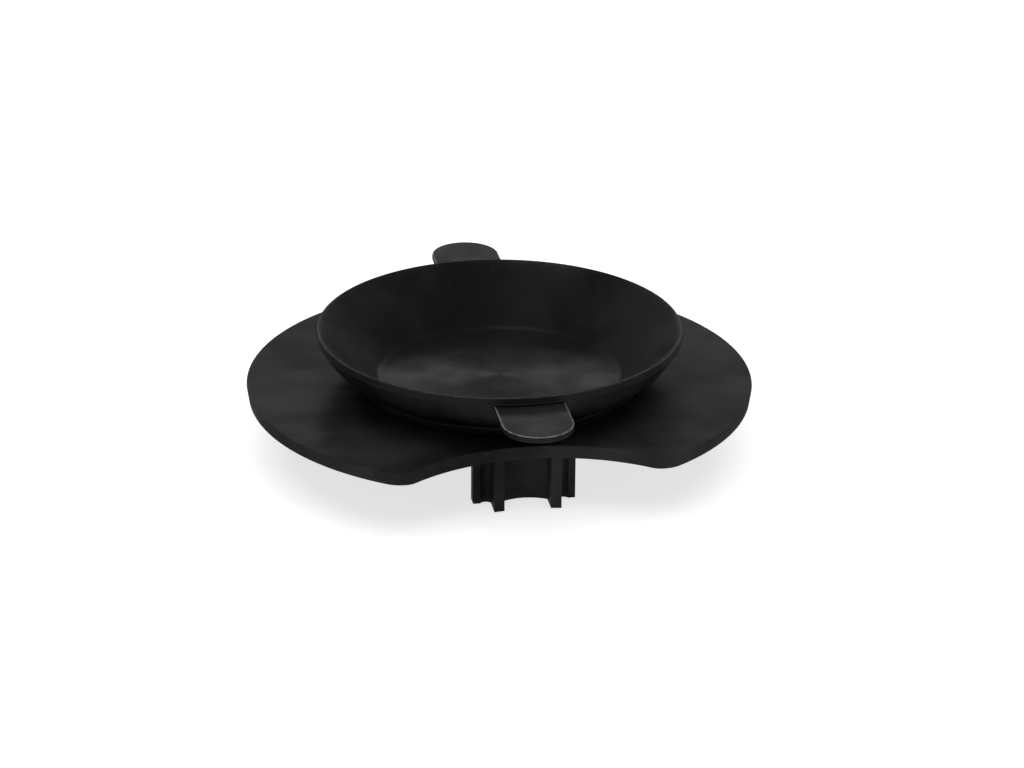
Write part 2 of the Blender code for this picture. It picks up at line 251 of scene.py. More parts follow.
def select_edges(obj, test):
    """Enters edit mode and selects the edges that pass the test."""
    pick(obj)
    bpy.ops.object.mode_set(mode="EDIT")
    bpy.ops.mesh.select_mode(type="EDGE")
    bpy.ops.mesh.select_all(action="DESELECT")
    shape = bmesh.from_edit_mesh(obj.data)
    for edge in shape.edges:
        if test(edge):
            edge.select_set(True)
    bmesh.update_edit_mesh(obj.data)


def bevel_edges(obj, test, width, segments):
    """Rounds the edges that pass the test."""
    select_edges(obj, test)
    bpy.ops.mesh.bevel(offset=width, segments=segments, affect="EDGES")
    bpy.ops.object.mode_set(mode="OBJECT")
    return obj


def round_edges(obj, width, segments, angle=40):
    """Rounds every edge sharper than the angle."""
    return modify(
        obj, "BEVEL", width=width, segments=segments, limit_method="ANGLE", angle_limit=math.radians(angle)
    )


def smooth(obj, angle=35, weighted=True):
    pick(obj)
    bpy.ops.object.shade_smooth_by_angle(angle=math.radians(angle))
    if weighted:
        modify(obj, "WEIGHTED_NORMAL", keep_sharp=True, weight=80)
    return obj


def cylinder(name, radius, low, high, centre=(0, 0), vertices=64):
    pick()
    bpy.ops.mesh.primitive_cylinder_add(
        vertices=vertices, radius=radius, depth=high - low, location=(centre[0], centre[1], (low + high) / 2)
    )
    return settle(added(name))


def block(name, low, high):
    """A cube scaled to run between two corners."""
    pick()
    bpy.ops.mesh.primitive_cube_add(size=1, location=(Vector(low) + Vector(high)) / 2)
    obj = added(name)
    obj.scale = Vector(high) - Vector(low)
    return settle(obj)


def section(name, points):
    """A closed loop of (radius, height) points, from a circle with as many corners, placed one by one."""
    pick()
    bpy.ops.mesh.primitive_circle_add(vertices=len(points), radius=1, fill_type="NOTHING")
    obj = added(name)
    for vert, (radius, height) in zip(obj.data.vertices, points):
        vert.co = (radius, 0, height)
    return obj


def turned(name, points, steps):
    """Spins a closed section once round the Z axis."""
    obj = section(name, points)
    bpy.ops.object.mode_set(mode="EDIT")
    bpy.ops.mesh.select_all(action="SELECT")
    bpy.ops.mesh.spin(steps=steps, angle=math.tau, center=(0, 0, 0), axis=(0, 0, 1))
    bpy.ops.object.mode_set(mode="OBJECT")
    return clean_edit(obj)


def slab(name, outline, low, high):
    """An outline, as a flat filled curve with thickness, made a mesh."""
    curve = bpy.data.curves.new(name, "CURVE")
    curve.dimensions = "2D"
    curve.fill_mode = "BOTH"
    curve.extrude = (high - low) / 2
    spline = curve.splines.new("POLY")
    spline.points.add(len(outline) - 1)
    for point, (x, y) in zip(spline.points, outline):
        point.co = (x, y, 0, 1)
    spline.use_cyclic_u = True
    obj = bpy.data.objects.new(name, curve)
    bpy.context.scene.collection.objects.link(obj)
    obj.location.z = (low + high) / 2
    pick(obj)
    bpy.ops.object.convert(target="MESH")
    settle(obj)
    clean_edit(obj)
    return flatten(obj)


def mark_trim_and_highlight(obj, amount, test):
    """Marks the faces that pass the test as a painted highlight or a trimmed edge, for the material to read.
    """
    marks = obj.data.attributes.new("trim_and_highlight", "FLOAT", "FACE")
    for face, mark in zip(obj.data.polygons, marks.data):
        mark.value = amount if test(face) else 0.0
    return obj


def half_turn_copy(obj, name):
    """A copy with its own mesh, turned half a turn about the Z axis."""
    pick(obj)
    bpy.ops.object.duplicate()
    copy = added(name)
    bpy.ops.transform.rotate(value=math.pi, orient_axis="Z", center_override=(0, 0, 0))
    return settle(copy)


def arc(centre, radius, start, end, pieces):
    """Points from one angle to the other, both included."""
    angles = [start + (end - start) * step / pieces for step in range(pieces + 1)]
    return [(centre[0] + radius * math.cos(a), centre[1] + radius * math.sin(a)) for a in angles]


def dip(low_x, high_x, level, depth, pieces):
    """A shallow arc, hollowed by depth from a level."""
    half = (high_x - low_x) / 2
    radius = (half**2 + depth**2) / (2 * depth)
    spread = math.asin(half / radius)
    middle = ((low_x + high_x) / 2, level - depth + radius)
    return arc(middle, radius, -math.pi / 2 - spread, -math.pi / 2 + spread, pieces)


# Node materials


class Nodes:
    """Builds one node tree, a node at a time."""

    def __init__(self, tree):
        self.tree = tree
        self.tree.nodes.clear()

    def add(self, kind, links=None, values=None, **settings):
        """Adds a node, sets its own settings, its sockets' values, and what feeds its sockets."""
        node = self.tree.nodes.new(kind)
        for key, value in settings.items():
            setattr(node, key, value)
        for key, value in (values or {}).items():
            node.inputs[key].default_value = value
        for key, source in (links or {}).items():
            self.tree.links.new(source, node.inputs[key])
        return node

    def maths(self, operation, *operands):
        """A Math node of numbers and sockets, returned as its output."""
        node = self.tree.nodes.new("ShaderNodeMath")
        node.operation = operation
        for index, operand in enumerate(operands):
            if isinstance(operand, (int, float)):
                node.inputs[index].default_value = operand
            else:
                self.tree.links.new(operand, node.inputs[index])
        return node.outputs[0]

    def span(self, source, low, high, to_low=0.0, to_high=1.0):
        """A smooth step of a socket from one pair of values to another."""
        node = self.add(
            "ShaderNodeMapRange",
            links={"Value": source},
            values={"From Min": low, "From Max": high, "To Min": to_low, "To Max": to_high},
            interpolation_type="SMOOTHSTEP",
        )
        return node.outputs["Result"]

    def scaled(self, place, scale):
        """A place vector scaled along each axis."""
        node = self.add("ShaderNodeMapping", links={"Vector": place}, values={"Scale": scale})
        return node.outputs["Vector"]

    def bump(self, height, strength, distance, under=None):
        """A bump, laid over another one where given."""
        links = {"Height": height}
        if under is not None:
            links["Normal"] = under
        node = self.add("ShaderNodeBump", links=links, values={"Strength": strength, "Distance": distance})
        return node.outputs["Normal"]

    def noise(self, place, scale, detail=3.0, roughness=0.5):
        node = self.add(
            "ShaderNodeTexNoise",
            links={"Vector": place},
            values={"Scale": scale, "Detail": detail, "Roughness": roughness},
        )
        return node.outputs["Fac"]

    def mix(self, factor, first, second):
        """Mixes two colours, each a tuple or a socket."""
        node = self.add("ShaderNodeMix", links={"Factor": factor}, data_type="RGBA")
        for socket, value in ((node.inputs[6], first), (node.inputs[7], second)):
            if isinstance(value, tuple):
                socket.default_value = (*value, 1.0)
            else:
                self.tree.links.new(value, socket)
        return node.outputs[2]


def shades(base, low, high):
    """Two tones of a colour."""
    return tuple(c * low for c in base), tuple(c * high for c in base)


def new_material(name):
    material = bpy.data.materials.new(name)
    material.use_nodes = True
    nodes = Nodes(material.node_tree)
    place = nodes.add("ShaderNodeTexCoord").outputs["Object"]
    shader = nodes.add("ShaderNodeBsdfPrincipled")
    nodes.add("ShaderNodeOutputMaterial", links={"Surface": shader.outputs["BSDF"]})
    return material, nodes, place, shader


def join_up(nodes, shader, colour_out, roughness_out, normal_out):
    for key, source in (("Base Color", colour_out), ("Roughness", roughness_out), ("Normal", normal_out)):
        nodes.tree.links.new(source, shader.inputs[key])


def specks(nodes, place, scale, keep):
    """Sparse round specks: cells picked at random, each with a small dot."""
    cells = nodes.add("ShaderNodeTexVoronoi", links={"Vector": place}, values={"Scale": scale})
    dot = nodes.span(cells.outputs["Distance"], 0.10, 0.20, 1.0, 0.0)
    lot = nodes.add("ShaderNodeSeparateColor", links={"Color": cells.outputs["Color"]}).outputs["Red"]
    return nodes.maths("MULTIPLY", dot, nodes.maths("GREATER_THAN", lot, 1.0 - keep))


def plastic_material(finishes):
    """Satin moulded black: cloudy tone, fine grain, slow changes of gloss and level, and faint scuffs."""
    material, nodes, place, shader = new_material("satin_black_plastic")
    low, high = shades(finishes.plastic, 0.60, 1.55)
    tone = nodes.mix(nodes.span(nodes.noise(place, 34.0, 4.0, 0.6), 0.34, 0.68), low, high)
    slow = nodes.noise(place, 26.0, 2.0)
    grain = nodes.noise(place, 2600.0, 2.0)
    stretched = nodes.scaled(place, (60.0, 1500.0, 400.0))
    scuff = nodes.span(nodes.noise(stretched, 1.0, 4.0, 0.6), 0.60, 0.74)
    tone = nodes.mix(nodes.maths("MULTIPLY", scuff, 0.35), tone, tuple(c * 2.6 for c in finishes.plastic))
    middle = finishes.plastic_roughness
    rough = nodes.span(slow, 0.3, 0.7, middle - 0.08, middle + 0.08)
    rough = nodes.maths("ADD", rough, nodes.maths("MULTIPLY", scuff, 0.10))
    fine = nodes.bump(grain, 0.22, 0.06 * MM)
    wave = nodes.bump(slow, 0.8, 3.4 * MM, fine)
    shader.inputs["Specular IOR Level"].default_value = 0.155
    join_up(nodes, shader, tone, rough, wave)
    return material


def rubber_material(finishes, name="soft_black_rubber"):
    """Soft black rubber: fine tooth, rings of a turned mould, slow waves, a little bloom, a few specks, and
    grey on marked faces for painted highlights and trimmed edges.
    """
    material, nodes, place, shader = new_material(name)
    low, high = shades(finishes.rubber, 0.40, 1.75)
    shifted = nodes.add("ShaderNodeMapping", links={"Vector": place}, values={"Location": (0.05, 0.43, 0.27)})
    bloom = nodes.span(nodes.noise(shifted.outputs["Vector"], 26.0, 5.0, 0.58), 0.36, 0.70)
    tone = nodes.mix(bloom, low, high)
    dust = specks(nodes, place, 620.0, 0.045)
    tone = nodes.mix(nodes.maths("MULTIPLY", dust, 0.8), tone, (0.055, 0.055, 0.054))
    # Grey on marked faces: a painted highlight along rounded edges, and on the tabs also a lighter trimmed
    # edge.
    trim_and_highlight = nodes.add("ShaderNodeAttribute", attribute_name="trim_and_highlight").outputs["Fac"]
    ragged = nodes.span(nodes.noise(place, 700.0, 3.0), 0.30, 0.62, 0.35, 1.0)
    tone = nodes.mix(nodes.maths("MULTIPLY", trim_and_highlight, ragged), tone, tuple(finishes.trimmed))
    middle = finishes.rubber_roughness
    rough = nodes.span(nodes.noise(place, 90.0, 4.0), 0.3, 0.7, middle - 0.05, middle + 0.07)
    apart = nodes.add("ShaderNodeSeparateXYZ", links={"Vector": place})
    across = nodes.maths("POWER", apart.outputs["X"], 2.0)
    along = nodes.maths("POWER", apart.outputs["Y"], 2.0)
    radius = nodes.maths("SQRT", nodes.maths("ADD", across, along))
    ring_pitch = 0.9 * MM
    rings = nodes.maths("SINE", nodes.maths("MULTIPLY", radius, math.tau / ring_pitch))
    ringed = nodes.bump(rings, 0.05, 0.04 * MM)
    toothed = nodes.bump(nodes.noise(place, 1900.0, 3.0), 0.30, 0.08 * MM, ringed)
    waved = nodes.bump(nodes.noise(place, 30.0, 2.0), 0.5, 2.0 * MM, toothed)
    shader.inputs["Specular IOR Level"].default_value = 0.40
    join_up(nodes, shader, tone, rough, waved)
    return material


def turned_rubber_material(finishes):
    """The same rubber with the sheen that a turned mould leaves, drawn out across its rings."""
    material = rubber_material(finishes, "turned_black_rubber")
    nodes = material.node_tree.nodes
    shader = nodes["Principled BSDF"]
    around = nodes.new("ShaderNodeTangent")
    around.direction_type = "RADIAL"
    around.axis = "Z"
    material.node_tree.links.new(around.outputs["Tangent"], shader.inputs["Tangent"])
    shader.inputs["Anisotropic"].default_value = 0.75
    shader.inputs["Anisotropic Rotation"].default_value = 0.25
    return material


def zinc_material(finishes):
    """Bright zinc plate on steel: mottled gloss, faint turning marks and a few dull spots."""
    material, nodes, place, shader = new_material("bright_zinc_plate")
    low, high = shades(finishes.zinc, 0.78, 1.05)
    mottle = nodes.noise(place, 420.0, 4.0)
    tone = nodes.mix(nodes.span(mottle, 0.3, 0.7), low, high)
    dull = specks(nodes, place, 900.0, 0.10)
    tone = nodes.mix(nodes.maths("MULTIPLY", dull, 0.5), tone, (0.22, 0.21, 0.19))
    rough = nodes.span(mottle, 0.3, 0.7, 0.24, 0.38)
    turning = nodes.noise(nodes.scaled(place, (300.0, 300.0, 9000.0)), 1.0, 2.0)
    shader.inputs["Metallic"].default_value = 1.0
    join_up(nodes, shader, tone, rough, nodes.bump(turning, 0.20, 0.05 * MM))
    return material


MADE = {}


def dress(obj, maker):
    """Gives a piece its finish."""
    if maker not in MADE:
        MADE[maker] = maker(bpy.context.scene.foot_finishes)
    obj.data.materials.clear()
    obj.data.materials.append(MADE[maker])
    return obj


# Plate and plugs


def plate_outline(plate):
    """Round plate with a shallow arc cut from its rear and front, and rounded tips between."""
    rim = BASE_HIGH.x
    centre = plate.notch_reach + plate.notch_radius
    to_tip = rim - plate.tip_round
    notch_to_tip = plate.notch_radius + plate.tip_round
    tip_y = (to_tip**2 - notch_to_tip**2 + centre**2) / (2 * centre)
    tip_x = math.sqrt(to_tip**2 - tip_y**2)
    rim_angle = math.atan2(tip_y, tip_x)
    notch_angle = math.atan2(tip_y - centre, tip_x)
    right = arc((0, 0), rim, -rim_angle, rim_angle, 110)
    tip = arc((tip_x, tip_y), plate.tip_round, rim_angle, notch_angle + math.pi, 16)
    notch = arc((0, centre), plate.notch_radius, notch_angle, -math.pi - notch_angle, 80)
    other_tip = [(-x, y) for x, y in reversed(tip)]
    half = right + tip[1:-1] + notch + other_tip[1:-1]
    return half + [(-x, -y) for x, y in half]


def ejector_marks(sizes):
    """Cutters for the shallow round marks that ejector pins leave on the underside."""
    bottom = BASE_HIGH.z - sizes.thickness
    pin_radius = 3.0 * MM
    depth = 0.12 * MM
    clear_of_plugs = 20 * MM
    marks = []
    for ring, count in ((30 * MM, 6), (62 * MM, 10)):
        for index in range(count):
            angle = math.tau * (index + 0.5) / count
            place = (ring * math.cos(angle), ring * math.sin(angle))
            if abs(place[0]) < clear_of_plugs:
                continue
            name = f"ejector_{len(marks)}"
            marks.append(cylinder(name, pin_radius, bottom - MM, bottom + depth, place, 40))
    return marks


def on_circle(edge, radius, height, slack=0.02 * MM):
    """Whether both ends of an edge lie on a level circle round the Z axis."""
    return all(
        abs(math.hypot(v.co.x, v.co.y) - radius) < slack and abs(v.co.z - height) < slack for v in edge.verts
    )


def lean_rim(obj, plate, bottom):
    """Draws in the rim's lower edge, in passes that reach ever further round the tips, so it fades there."""
    rim = BASE_HIGH.x
    passes = 8
    reach_step = 0.4 * MM
    slack = 0.1 * MM
    shrink = 1 - plate.draft / rim / passes
    pick(obj)
    bpy.ops.object.mode_set(mode="EDIT")
    bpy.ops.mesh.select_mode(type="VERT")
    for step in range(passes):
        inner = rim - plate.draft - reach_step * step - slack
        bpy.ops.mesh.select_all(action="DESELECT")
        shape = bmesh.from_edit_mesh(obj.data)
        for vert in shape.verts:
            if vert.co.z < bottom + MM / 2 and math.hypot(vert.co.x, vert.co.y) > inner:
                vert.select_set(True)
        bmesh.update_edit_mesh(obj.data)
        bpy.ops.transform.resize(value=(shrink, shrink, 1), center_override=(0, 0, 0))
    bpy.ops.object.mode_set(mode="OBJECT")


def moulded_plate(plate, plug):
    """Plate and plugs in one: joined and trimmed to the outline while sharp, then rounded all over."""
    top = BASE_HIGH.z
    bottom = top - plate.thickness
    seat_edge = 0.2 * MM
    reach = BASE_HIGH.x + 5 * MM
    obj = block("moulded_plate", (-reach, -reach, bottom), (reach, reach, top))
    rear = rear_plug(plate, plug)
    front = half_turn_copy(rear, "front_plug")
    combine(obj, "UNION", [rear, front])
    combine(obj, "INTERSECT", [slab("outline", plate_outline(plate), BASE_LOW.z - MM, top + MM)])
    clean_edit(obj)
    flatten(obj)
    lean_rim(obj, plate, bottom)
    round_edges(obj, plate.edge_round, 3)
    seat_floor = top - plate.seat_depth
    combine(obj, "DIFFERENCE", [cylinder("seat", plate.seat_radius, seat_floor, top + MM, vertices=256)])
    bevel_edges(obj, lambda edge: on_circle(edge, plate.seat_radius, top), seat_edge, 2)
    combine(obj, "DIFFERENCE", [cylinder("bore", plate.bore_radius, 0, top)] + ejector_marks(plate))
    return smooth(obj)


def underside_ribs(sizes, plug):
    """Boss round the stud, and the two stiffeners that run past it between the plugs."""
    bottom = BASE_HIGH.z - sizes.thickness
    sunk = BASE_HIGH.z - sizes.seat_depth - 0.3 * MM
    edge_round = 0.3 * MM
    boss = cylinder("underside_ribs", sizes.boss_radius, bottom - sizes.boss_height, sunk, vertices=96)
    reach = sizes.notch_reach - plug.depth + plug.web_thickness / 2
    thickness = plug.rib_thickness - 0.6 * MM
    for side in (-1, 1):
        middle = side * plug.rib_spacing / 2
        low = (middle - thickness / 2, -reach, bottom - sizes.stiffener_height)
        rib = block("stiffener", low, (middle + thickness / 2, reach, sunk - 0.1 * MM))
        combine(boss, "UNION", [rib])
    combine(boss, "DIFFERENCE", [cylinder("bore", sizes.bore_radius, 0, sunk + MM)])
    round_edges(boss, edge_round, 2, angle=50)
    return smooth(boss)


def rib_sides(plug):
    """Distances from the middle of a plug to the inner and outer side of a rib."""
    inner = (plug.rib_spacing - plug.rib_thickness) / 2
    return inner, inner + plug.rib_thickness


def plug_outline(plate, plug):
    """A plug from below: two ribs, too long at the notch until trimmed, and a scooped and fluted wall."""
    to_trim = 4 * MM
    wall = plate.notch_reach - plug.rib_overhang
    rear = plate.notch_reach - plug.depth
    front = plate.notch_reach + to_trim
    inner, outer = rib_sides(plug)
    half = plug.width / 2
    right = [(inner, front), (outer, front)]
    right += dip(outer, outer + plug.flute_width, wall, plug.flute_depth, 12)
    right += [(half, wall), (half, wall - plug.wall_thickness), (outer, wall - plug.wall_root), (outer, rear)]
    scoop = dip(-inner, inner, wall, plug.scoop_depth, 28)
    return scoop + right + [(-x, y) for x, y in reversed(right)]


def rear_plug(plate, plug):
    """The rear plug, with the closed cell between its ribs, wall and web cut up to the plate."""
    inner, outer = rib_sides(plug)
    bottom = BASE_HIGH.z - plate.thickness
    obj = slab("rear_plug", plug_outline(plate, plug), BASE_LOW.z, bottom + MM)
    low = (-inner, plate.notch_reach - plug.depth + plug.web_thickness, BASE_LOW.z - MM)
    high = (inner, plate.notch_reach - plug.rib_overhang - plug.wall_root, bottom)
    return combine(obj, "DIFFERENCE", [block("cell", low, high)])


# Cup and tabs


def inner_wall(sizes):
    """The inside of the cup, from the floor's edge round the crease and up to the slope under the lip."""
    rim = CUP_HIGH.x
    top = (rim - sizes.lip_flat - sizes.lip_slope, CUP_HIGH.z - sizes.lip_drop)
    floor = BASE_HIGH.z + sizes.floor_rise
    centre = (sizes.floor_radius, floor + sizes.crease_radius)
    across = top[0] - centre[0]
    up = top[1] - centre[1]
    lean = math.atan2(up, across) - math.acos(sizes.crease_radius / math.hypot(across, up))
    curve = arc(centre, sizes.crease_radius, -math.pi / 2, lean, 14)
    start = curve[-1]
    steps = 14
    wall = [
        (start[0] + (top[0] - start[0]) * step / steps, start[1] + (top[1] - start[1]) * step / steps)
        for step in range(1, steps + 1)
    ]
    return curve + wall


def outer_wall(sizes):
    """The outside of the cup, from under the band down to the ledge of the foot, slightly swollen."""
    top = (CUP_HIGH.x - sizes.band_proud, CUP_HIGH.z - sizes.band_height)
    foot = (sizes.foot_radius - sizes.foot_ledge, BASE_HIGH.z + sizes.foot_height)
    taper = 0.02 * MM
    steps = 22
    points = []
    for step in range(1, steps + 1):
        part = step / steps
        out = sizes.bulge * 4 * part * (1 - part)
        radius = min(top[0] + (foot[0] - top[0]) * part + out, top[0] - taper * part)
        points.append((radius, top[1] + (foot[1] - top[1]) * part - out))
    return points


def rim_section(sizes):
    """The lip, the upright band outside it and the bead along the band's lower edge."""
    rim = CUP_HIGH.x
    top = CUP_HIGH.z
    edge = 0.28 * MM
    bead = 0.42 * MM
    inset = 0.22 * MM
    inner_edge = arc((rim - sizes.lip_flat, top - edge), edge, math.radians(113), math.pi / 2, 3)
    outer_edge = arc((rim - inset - edge, top - edge), edge, math.pi / 2, 0.0, 5)
    bead_centre = (rim - bead, top - sizes.band_height + bead)
    bead_edge = arc(bead_centre, bead, math.radians(62), math.radians(-90), 9)
    return inner_edge + outer_edge + bead_edge


def cup_section(sizes):
    """The cup's section, from the middle of the floor out, over the lip, down the outside and back below."""
    floor = BASE_HIGH.z + sizes.floor_rise
    middle = [(radius * MM, floor) for radius in (0, 12, 24, 32)]
    edge = 0.3 * MM
    gap = 0.3 * MM
    foot_top = BASE_HIGH.z + sizes.foot_height
    recess = STUD_HIGH.x + gap
    recess_top = STUD_HIGH.z + gap
    foot = arc((sizes.foot_radius - edge, foot_top - edge), edge, math.pi / 2, 0.0, 4)
    foot += arc((sizes.foot_radius - edge, CUP_LOW.z + edge), edge, 0.0, -math.pi / 2, 3)
    under = [(recess, CUP_LOW.z), (recess, recess_top), (0.0, recess_top)]
    return middle + inner_wall(sizes) + rim_section(sizes) + outer_wall(sizes) + foot + under


def on_highlit_edge(sizes, point):
    """Whether a point is on the round along the lip's outer edge, or on the one along the top of the foot."""
    out = math.hypot(point.x, point.y)
    on_lip = out > CUP_HIGH.x - 0.52 * MM and point.z > CUP_HIGH.z - 0.2 * MM
    level = BASE_HIGH.z + sizes.foot_height
    on_foot = out > sizes.foot_radius - 0.3 * MM and level - 0.3 * MM < point.z < level + 0.01 * MM
    return on_lip or on_foot


def rubber_cup(sizes):
    """The cup, turned from its section, with a painted highlight in grey along the edges of its lip and foot.
    """
    cup = turned("rubber_cup", cup_section(sizes), 288)
    smooth(cup, angle=50, weighted=False)
    # The lip's outer edge round and the top edge of the foot get a painted highlight in grey.
    return mark_trim_and_highlight(cup, sizes.edge_highlight, lambda face: on_highlit_edge(sizes, face.center))


def rear_tab(sizes):
    """A tongue with a round end. Its root runs into the cup's wall, and a row of cuts crosses it near there.
    """
    half = (TAB_HIGH.x - TAB_LOW.x) / 2
    root = CUP_HIGH.x - sizes.tab_root_depth
    end_y = -TAB_LOW.y - half
    spread = math.asin(half / root)
    base = arc((0, 0), root, math.pi / 2 + spread, math.pi / 2 - spread, 12)
    end = arc((0, end_y), half, 0.0, math.pi, 56)
    tab = slab("rear_tab", base + end, TAB_LOW.z, TAB_HIGH.z)
    round_edges(tab, sizes.tab_edge_round, 3)
    cuts = 24
    spacing = 0.5 * MM
    first_cut = root - 1.987 * MM
    pick(tab)
    bpy.ops.object.mode_set(mode="EDIT")
    for step in range(cuts):
        bpy.ops.mesh.select_all(action="SELECT")
        bpy.ops.mesh.bisect(plane_co=(0, first_cut + spacing * step, 0), plane_no=(0, 1, 0))
    bpy.ops.object.mode_set(mode="OBJECT")
    smooth(tab)
    # The upward-leaning faces of the top edge round are marked grey. This is partly a trimmed edge and partly
    # a painted highlight.
    trimmed_from = TAB_HIGH.z - 0.3 * MM
    return mark_trim_and_highlight(tab, 1.0, lambda face: face.center.z > trimmed_from and 0.3 < face.normal.z < 0.99)


# Fasteners


def ring_section(radius, bore, low, high, edge):
    """The section of a ring with rounded outer edges and small inner ones."""
    inner = edge / 2
    return (
        arc((bore + inner, high - inner), inner, math.pi, math.pi / 2, 3)
        + arc((radius - edge, high - edge), edge, math.pi / 2, 0.0, 4)
        + arc((radius - edge, low + edge), edge, 0.0, -math.pi / 2, 4)
        + arc((bore + inner, low + inner), inner, -math.pi / 2, -math.pi, 3)
    )


def helix(name, points, turns, rise, steps):
    """Winds a closed section round the Z axis while it rises, and closes its two ends."""
    obj = section(name, points)
    modify(
        obj,
        "SCREW",
        angle=math.tau * turns,
        screw_offset=rise,
        iterations=1,
        steps=steps,
        render_steps=steps,
        use_merge_vertices=False,
    )
    pick(obj)
    bpy.ops.object.mode_set(mode="EDIT")
    bpy.ops.mesh.select_mode(type="EDGE")
    bpy.ops.mesh.select_all(action="DESELECT")
    bpy.ops.mesh.select_non_manifold()
    bpy.ops.mesh.edge_face_add()
    bpy.ops.object.mode_set(mode="OBJECT")
    return clean_edit(obj)


def threaded_stud():
    """The bonded disc with its stud, and an M6 thread wound round the stud."""
    core = 2.45 * MM
    crest = 2.95 * MM
    pitch = 1.0 * MM
    top = STUD_HIGH.z
    disc_low = STUD_HIGH.z - 1.2 * MM
    edge = 0.2 * MM
    fillet = 0.6 * MM
    chamfer = 0.5 * MM
    points = [
        (0.0, top),
        (STUD_HIGH.x - edge, top),
        (STUD_HIGH.x, top - edge),
        (STUD_HIGH.x, disc_low + edge),
        (STUD_HIGH.x - edge, disc_low),
        (core + fillet, disc_low),
        (core, disc_low - fillet),
        (core, STUD_LOW.z + chamfer),
        (core - chamfer, STUD_LOW.z),
        (0.0, STUD_LOW.z),
    ]
    stud = turned("threaded_stud", points, 64)
    turns = int((disc_low - STUD_LOW.z) / pitch) - 2
    start = STUD_LOW.z + 0.55 * MM
    sunk = 0.15 * MM
    foot_half = 0.42 * pitch
    crest_half = 0.07 * pitch
    ridge = [
        (core - sunk, start - foot_half),
        (crest, start - crest_half),
        (crest, start + crest_half),
        (core - sunk, start + foot_half),
    ]
    thread = helix("thread", ridge, turns, pitch * turns, 40 * turns)
    combine(stud, "UNION", [thread])
    return smooth(stud, angle=30, weighted=False)


def plain_washer():
    bore = 3.2 * MM
    edge = 0.22 * MM
    low = WASHER_LOW.z - 0.1 * MM
    washer = turned("plain_washer", ring_section(WASHER_HIGH.x, bore, low, WASHER_HIGH.z, edge), 96)
    return smooth(washer, angle=50, weighted=False)


def split_washer():
    """A square-sectioned ring, cut through and wound slightly out of level."""
    bore = 3.15 * MM
    edge = 0.18 * MM
    rise = 0.25 * MM
    turn = 0.965
    low = SPRING_LOW.z + 0.02 * MM
    points = ring_section(SPRING_HIGH.x, bore, low, SPRING_HIGH.z - rise, edge)
    washer = helix("split_washer", points, turn, rise, 96)
    return smooth(washer, angle=50, weighted=False)


def zinc_nut():
    """A hexagon with its corners chamfered top and bottom, and a threaded bore."""
    corner = NUT_HIGH.y
    nut = cylinder("zinc_nut", corner, NUT_LOW.z, NUT_HIGH.z, vertices=6)
    slope = math.tan(math.radians(30))
    start = corner - 0.75 * MM
    reach = corner + 2 * MM
    drop = (reach - start) * slope
    points = [
        (0.0, NUT_HIGH.z + start * slope),
        (reach, NUT_HIGH.z - drop),
        (reach, NUT_LOW.z + drop),
        (0.0, NUT_LOW.z - start * slope),
    ]
    combine(nut, "INTERSECT", [turned("chamfers", points, 96)])
    lead = 0.5 * MM
    bore = 3.0 * MM
    hole = [
        (0.0, NUT_HIGH.z + lead),
        (bore + 2 * lead, NUT_HIGH.z + lead),
        (bore, NUT_HIGH.z - lead),
        (bore, NUT_LOW.z + lead),
        (bore + 2 * lead, NUT_LOW.z - lead),
        (0.0, NUT_LOW.z - lead),
    ]
    combine(nut, "DIFFERENCE", [turned("hole", hole, 64)])
    round_edges(nut, 0.08 * MM, 2, angle=25)
    return smooth(nut, angle=30)


# Studio


def studio_floor(studio):
    """A white light table: it glows faintly, so what stands on it casts only a pale shadow."""
    pick()
    below = 0.4 * MM
    bpy.ops.mesh.primitive_plane_add(size=14, location=(0, 0, -below))
    floor = settle(added("studio_floor"))
    material, nodes, place, shader = new_material("pale_floor")
    white = studio.floor_white
    tone = nodes.mix(nodes.noise(place, 3.0), (white * 0.985,) * 3, (white,) * 3)
    nodes.tree.links.new(tone, shader.inputs["Base Color"])
    shader.inputs["Roughness"].default_value = 0.9
    shader.inputs["Specular IOR Level"].default_value = 0.0
    shader.inputs["Emission Color"].default_value = (1, 1, 1, 1)
    shader.inputs["Emission Strength"].default_value = studio.floor_glow
    floor.data.materials.append(material)
    floor.visible_glossy = False


def soft_light(name, place, size, radiance, glossy=True):
    """A rectangular softbox of even radiance, facing the foot."""
    aim = Vector((0, 0, BASE_HIGH.z))
    pick()
    bpy.ops.object.light_add(type="AREA", location=place)
    light = bpy.context.active_object
    light.name = name
    light.data.shape = "RECTANGLE"
    light.data.size, light.data.size_y = size
    light.data.energy = radiance * math.pi * size[0] * size[1]
    light.rotation_euler = (aim - Vector(place)).to_track_quat("-Z", "Y").to_euler()
    light.visible_glossy = glossy


def studio_lights():
    soft_light("overhead", (0.0, 0.1, 1.6), (2.6, 2.6), 1.05, glossy=False)
    soft_light("top_strip", (-0.1, 0.30, 1.15), (0.34, 0.16), 3.0)
    soft_light("rear_strip", (0.23, 1.28, 0.56), (0.95, 0.24), 0.62)


def studio_world(studio):
    """A dim surround, lighter overhead."""
    world = bpy.data.worlds.new("studio_surround")
    world.use_nodes = True
    bpy.context.scene.world = world
    nodes = Nodes(world.node_tree)
    place = nodes.add("ShaderNodeTexCoord").outputs["Generated"]
    height = nodes.add("ShaderNodeSeparateXYZ", links={"Vector": place}).outputs["Z"]
    tone = nodes.mix(nodes.span(height, 0.0, 0.9), (studio.surround_low,) * 3, (studio.surround_high,) * 3)
    surround = nodes.add("ShaderNodeBackground", links={"Color": tone})
    nodes.add("ShaderNodeOutputWorld", links={"Surface": surround.outputs["Background"]})


